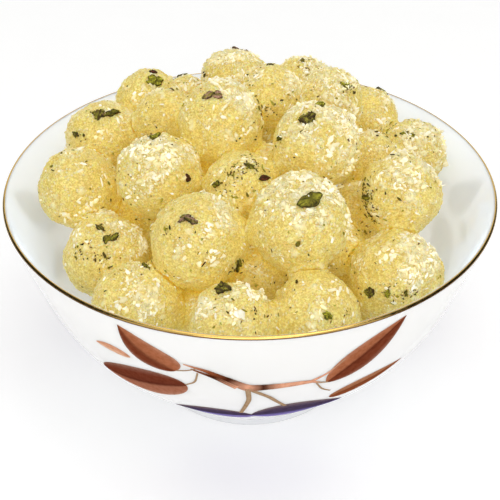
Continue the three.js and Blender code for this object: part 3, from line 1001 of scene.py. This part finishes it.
# Where crumbs and chips lie thick: sweet, bearing and height on it, number of bits.
WHITE_CLUMPS = [
    ("front_1", -25, 40, 9), ("front_1", -10, 50, 7), ("front_1", -15, 75, 6),
    ("front_1", 70, 60, 4), ("second_2", -20, 25, 4), ("second_2", 30, 45, 12),
    ("second_2", 30, 10, 10), ("second_2", 10, 10, 8), ("second_4", -35, 85, 10),
    ("second_4", 35, 55, 10), ("upper_3", -150, 75, 16), ("upper_3", 5, 40, 6),
    ("upper_3", 70, 45, 18), ("upper_3", 30, 5, 8), ("front_2", 95, 55, 10),
    ("front_2", 10, 55, 10), ("second_3", -150, 85, 24), ("second_3", 95, 55, 26),
    ("second_3", 75, 15, 24), ("second_3", -10, 40, 8), ("front_3", 70, 60, 7),
    ("front_3", 30, 60, 5), ("middle_2", -15, 65, 20), ("middle_2", 35, 55, 20),
    ("middle_2", -30, 5, 10), ("middle_2", 5, 30, 12), ("middle_1", -10, -5, 12),
    ("middle_1", 25, 5, 10), ("second_1", 75, 30, 18), ("front_4", -30, 60, 14),
    ("front_4", 40, 50, 12), ("middle_4", 45, -5, 22), ("middle_4", 15, 25, 18),
    ("middle_4", -130, 70, 12), ("upper_6", -25, 35, 20), ("back_5", -30, 35, 12),
    ("back_4", -10, 20, 12), ("back_1", -15, 35, 8), ("middle_3", -15, 25, 8),
    ("upper_1", 10, 35, 8), ("second_3", 115, 39, 6), ("middle_5", -137, 46, 10),
]
CHIP_CLUMPS = [
    ("second_1", -35, 40, 9), ("second_1", -10, 30, 7), ("second_1", 10, 35, 8),
    ("second_4", -75, 25, 18), ("second_4", -55, 5, 18), ("second_4", -50, -15, 12),
    ("middle_3", -10, 60, 18), ("middle_3", 60, 60, 14), ("middle_3", -25, 30, 12),
    ("front_4", -10, 20, 10), ("front_4", 10, 25, 8), ("upper_1", -30, 25, 7),
    ("upper_6", -120, 35, 12), ("back_4", 20, 65, 12), ("back_4", 60, 45, 6),
    ("upper_3", 85, 20, 14), ("upper_4", -5, 0, 10), ("back_2", -60, 55, 4),
    ("front_1", 155, 50, 9), ("second_2", -45, 40, 6), ("front_2", 45, 50, 5),
    ("second_3", 125, 45, 5), ("back_5", 15, 5, 10), ("front_3", 40, 30, 6),
    ("upper_5", 45, 45, 8), ("second_2", 50, -20, 8), ("middle_5", 5, 15, 10),
    ("back_3", -45, 20, 4),
]

FLAKE_SIZES = ((0.6, 2.0), (0.3, 0.8), (0.2, 0.4))
CLUMP_SIZES = ((0.8, 2.2), (0.6, 1.3), (0.5, 0.9))
GREEN_SIZES = ((0.5, 1.7), (0.3, 0.9), (0.15, 0.35))
DARK_SIZES = ((0.35, 1.2), (0.2, 0.5), (0.15, 0.3))

open_share = 1 - SPOT_HOLLOW
flock = smooth_noise(SPOTS, 3.0, 76) ** 3
flake_chance = (SPOT_DUST ** 1.3 + 0.05) * (open_share + 0.1) * (flock + 0.03)
clump_chance = (SPOT_DUST ** 2 + 0.01) * open_share
green_chance, dark_chance = (0.06 + smooth_noise(SPOTS, 6, seed) ** 4 for seed in (77, 78))
green_clumps = [(*clump[:3], clump[3] // 2) for clump in CHIP_CLUMPS]
scatter("white_flakes", 5200, flake_chance, FLAKE_SIZES, WHITES, crumb_material,
        seed=11, tilt=0.35, sunk=0.25)
scatter("white_clumps", 300, clump_chance, CLUMP_SIZES, WHITES, crumb_material,
        seed=14, tilt=0.5, sunk=0.1, clumps=WHITE_CLUMPS, spread=2.0)
scatter("green_chips", 520, green_chance, GREEN_SIZES, GREENS, nut_material,
        seed=12, tilt=0.3, sunk=0.2, clumps=green_clumps, spread=2.6)
scatter("dark_chips", 380, dark_chance, DARK_SIZES, DARKS, nut_material,
        seed=13, tilt=0.3, sunk=0.2, clumps=CHIP_CLUMPS, spread=2.4)

# ---- Pistachio slices -----------------------------------------------------------------------

# Colours of the body, of the other side and of the edge, and how many shards it is broken into.
OLIVE = (rgb(142, 138, 38), rgb(106, 98, 26), rgb(28, 20, 4), 1)
DARK = (rgb(146, 138, 48), rgb(86, 66, 40), rgb(22, 14, 6), 4)
GREEN = (rgb(140, 134, 38), rgb(96, 88, 26), rgb(30, 22, 6), 2)
LIME = (rgb(188, 184, 54), rgb(138, 134, 34), rgb(60, 50, 12), 4)
STRIPED = (rgb(190, 146, 128), rgb(134, 122, 50), rgb(44, 28, 26), 2)
MAROON = (rgb(104, 42, 36), rgb(76, 34, 26), rgb(40, 18, 12), 1)

# Sweet, bearing and height on it, length, width, thickness, turn as in the CAD source, colours.
SLICES = [
    ("front_1", 135, 70, 3.5, 2.5, 1.4, 0, GREEN), ("front_2", -130, 75, 5, 4.5, 1.8, 90, DARK),
    ("front_3", 15, 40, 3, 2.2, 1.2, 160, LIME), ("front_4", -40, 12, 3, 3.5, 1.4, 110, DARK),
    ("front_4", -18, 18, 3, 2, 1.2, 90, LIME), ("second_1", 25, 60, 6, 2.8, 1.4, 170, GREEN),
    ("second_1", -10, 77, 3.5, 1.6, 1.2, 160, DARK),
    ("second_2", -20, 60, 6, 3.5, 1.6, 10, STRIPED),
    ("second_3", 20, 60, 7.5, 4.5, 1.8, 15, OLIVE),
    ("second_4", -65, 12, 3.5, 2.6, 1.4, 30, GREEN),
    ("middle_2", 50, 20, 2.6, 2.4, 1.4, 70, MAROON), ("middle_2", -165, 80, 4, 3, 1.4, 40, LIME),
    ("middle_3", 50, 40, 3.5, 2, 1.4, 160, MAROON),
    ("middle_3", 30, 65, 3.5, 2.6, 1.4, 130, GREEN), ("middle_3", -50, 30, 3, 2.4, 1.4, 30, GREEN),
    ("middle_4", -35, 65, 5.5, 4.5, 1.8, 10, DARK), ("middle_4", 155, 80, 3.6, 2.6, 1.4, 70, LIME),
    ("middle_4", -68, 24, 3.4, 2, 1.2, 30, GREEN), ("upper_1", 0, 70, 4.6, 4, 1.6, 70, DARK),
    ("upper_1", 52, 65, 5, 3.5, 1.6, 170, GREEN), ("upper_3", -25, 65, 7, 4, 1.6, 30, STRIPED),
    ("upper_4", 175, 60, 4.5, 2.8, 1.4, 60, OLIVE), ("upper_5", 40, 50, 4, 2.5, 1.4, 140, LIME),
    ("upper_6", -30, 60, 5.2, 2.5, 1.4, 10, LIME), ("back_1", 35, 65, 6, 4.4, 1.6, 0, LIME),
    ("back_1", 30, 43, 3, 2.4, 1.2, 50, LIME), ("back_2", -165, 55, 5.5, 3.5, 1.6, 120, OLIVE),
    ("back_3", 170, 45, 6, 3.6, 1.6, 35, STRIPED), ("back_4", 20, 40, 4.5, 2.7, 1.4, 10, LIME),
    ("back_5", 125, 50, 5.5, 3, 1.5, 80, OLIVE), ("rear_1", 160, 50, 4, 2.6, 1.4, 15, GREEN),
    ("rear_2", 175, 60, 5, 3.2, 1.5, 100, OLIVE), ("back_1", 100, 80, 2, 3, 1.1, 0, MAROON),
    ("upper_1", -45, 30, 3, 1.7, 0.9, 170, DARK), ("upper_3", -40, -10, 2.8, 2.2, 1.0, 0, DARK),
    ("middle_4", -30, 45, 1.8, 1.5, 0.9, 0, GREEN), ("middle_4", 50, 30, 2, 1.5, 0.9, 90, MAROON),
    ("second_2", 60, -15, 4.4, 2.9, 1.2, 90, GREEN), ("front_4", 5, 20, 2.5, 1.6, 0.9, 90, GREEN),
    ("back_3", -75, 25, 2.6, 2.2, 1.0, 0, GREEN),
]
SLICE_ROWS, SLICE_COLUMNS = 12, 36
SHARD_SHARE = 0.62  # size of one shard against the whole slice
OUTLINE_WAVES = ((2, 0.16), (3, 0.16), (5, 0.1), (8, 0.07))
WRINKLE_SIZE = 0.22


def shard_sheet(centre, long_side, short_side, outward, sizes, colours, seed, ragged):
    """One thin piece with an uneven outline, a wrinkled face and a darker edge."""
    random = np.random.default_rng(seed)
    tilts = np.linspace(-math.pi / 2, math.pi / 2, SLICE_ROWS)
    turns = np.arange(SLICE_COLUMNS) * 2 * math.pi / SLICE_COLUMNS
    tilt, turn = (grid.ravel() for grid in np.meshgrid(tilts, turns, indexing="ij"))
    outline = sum(size * np.sin(rate * turn + random.uniform(0, 2 * math.pi))
                  for rate, size in OUTLINE_WAVES)
    spread = np.cos(tilt) ** 0.5 * (1 + ragged * outline)
    x, y = np.cos(turn) * spread, np.sin(turn) * spread
    z = np.sign(np.sin(tilt)) * np.abs(np.sin(tilt)) ** 0.8
    shape = np.stack([x, y, z], axis=1)
    wrinkle = smooth_noise(shape * (1.0, 2.0, 1.0), WRINKLE_SIZE, seed + 300) - 0.5
    z = z + (0.5 + 0.6 * ragged) * wrinkle
    taper = 1 - 0.35 * x ** 2
    length, width, thickness = sizes
    points = (
        centre + long_side * (x * length / 2)[:, None]
        + short_side * (y * taper * width / 2)[:, None]
        + outward * (z * thickness / 2)[:, None]
    )
    faces = [
        (i * SLICE_COLUMNS + j, i * SLICE_COLUMNS + (j + 1) % SLICE_COLUMNS,
         (i + 1) * SLICE_COLUMNS + (j + 1) % SLICE_COLUMNS, (i + 1) * SLICE_COLUMNS + j)
        for i in range(SLICE_ROWS - 1) for j in range(SLICE_COLUMNS)
    ]
    body, second, edge = (np.array(c) for c in colours)
    side = smooth_step(-0.3, 0.3, np.sin(y * 4 + seed) * 0.5 + wrinkle)[:, None]
    rim = smooth_step(0.86, 1.0, np.cos(tilt) ** 0.5)[:, None]
    crease = smooth_step(0.08, 0.3, np.abs(wrinkle))[:, None]
    tints = body * side + second * (1 - side)
    tints = tints * (1.3 - 1.05 * crease)
    tints = tints * (1 - 0.8 * rim) + edge * 0.8 * rim
    return points, faces, tints


def slice_sheets(row, number):
    """The shards of one chip of nut that lies on a sweet."""
    name, bearing, height, length, width, thickness, turn, kind = row
    *colours, count = kind
    sweet = sweet_named[name]
    around, swing = math.radians(bearing), math.radians(turn)
    outward = direction_of(bearing, height)
    level = np.array([math.cos(around), math.sin(around), 0.0])
    long_side = level * math.cos(swing) + np.cross(outward, level) * math.sin(swing)
    short_side = np.cross(outward, long_side)
    centre = sweet.centre + outward * (sweet.radius * sweet.share(outward[None])[0] + 0.15)
    if count == 1:
        return [shard_sheet(centre, long_side, short_side, outward, (length, width, thickness),
                            colours, number, 0.5)]
    random = np.random.default_rng(500 + number)
    sheets = []
    for k in range(count):
        at = 2 * math.pi * (k + random.uniform(-0.2, 0.2)) / count
        place = centre + long_side * math.cos(at) * length * (1 - SHARD_SHARE) / 2
        place = place + short_side * math.sin(at) * width * (1 - SHARD_SHARE) / 2
        facing = outward + 0.35 * (long_side * random.normal() + short_side * random.normal())
        facing /= np.linalg.norm(facing)
        first = long_side + random.uniform(-0.9, 0.9) * short_side
        first -= facing * (first @ facing)
        first /= np.linalg.norm(first)
        shade = random.uniform(0.75, 1.25)
        own = [tuple(np.clip(np.array(c) * shade, 0, 1)) for c in colours]
        sheets.append(shard_sheet(
            place, first, np.cross(facing, first), facing,
            (length * SHARD_SHARE, width * SHARD_SHARE, thickness * 0.8), own, 10 * number + k, 1.0,
        ))
    return sheets


shards = [sheet for k, row in enumerate(SLICES) for sheet in slice_sheets(row, k)]
points, faces, tints = joined(shards)
new_piece("pistachio_slices", points, faces, nut_material, tints=tints)
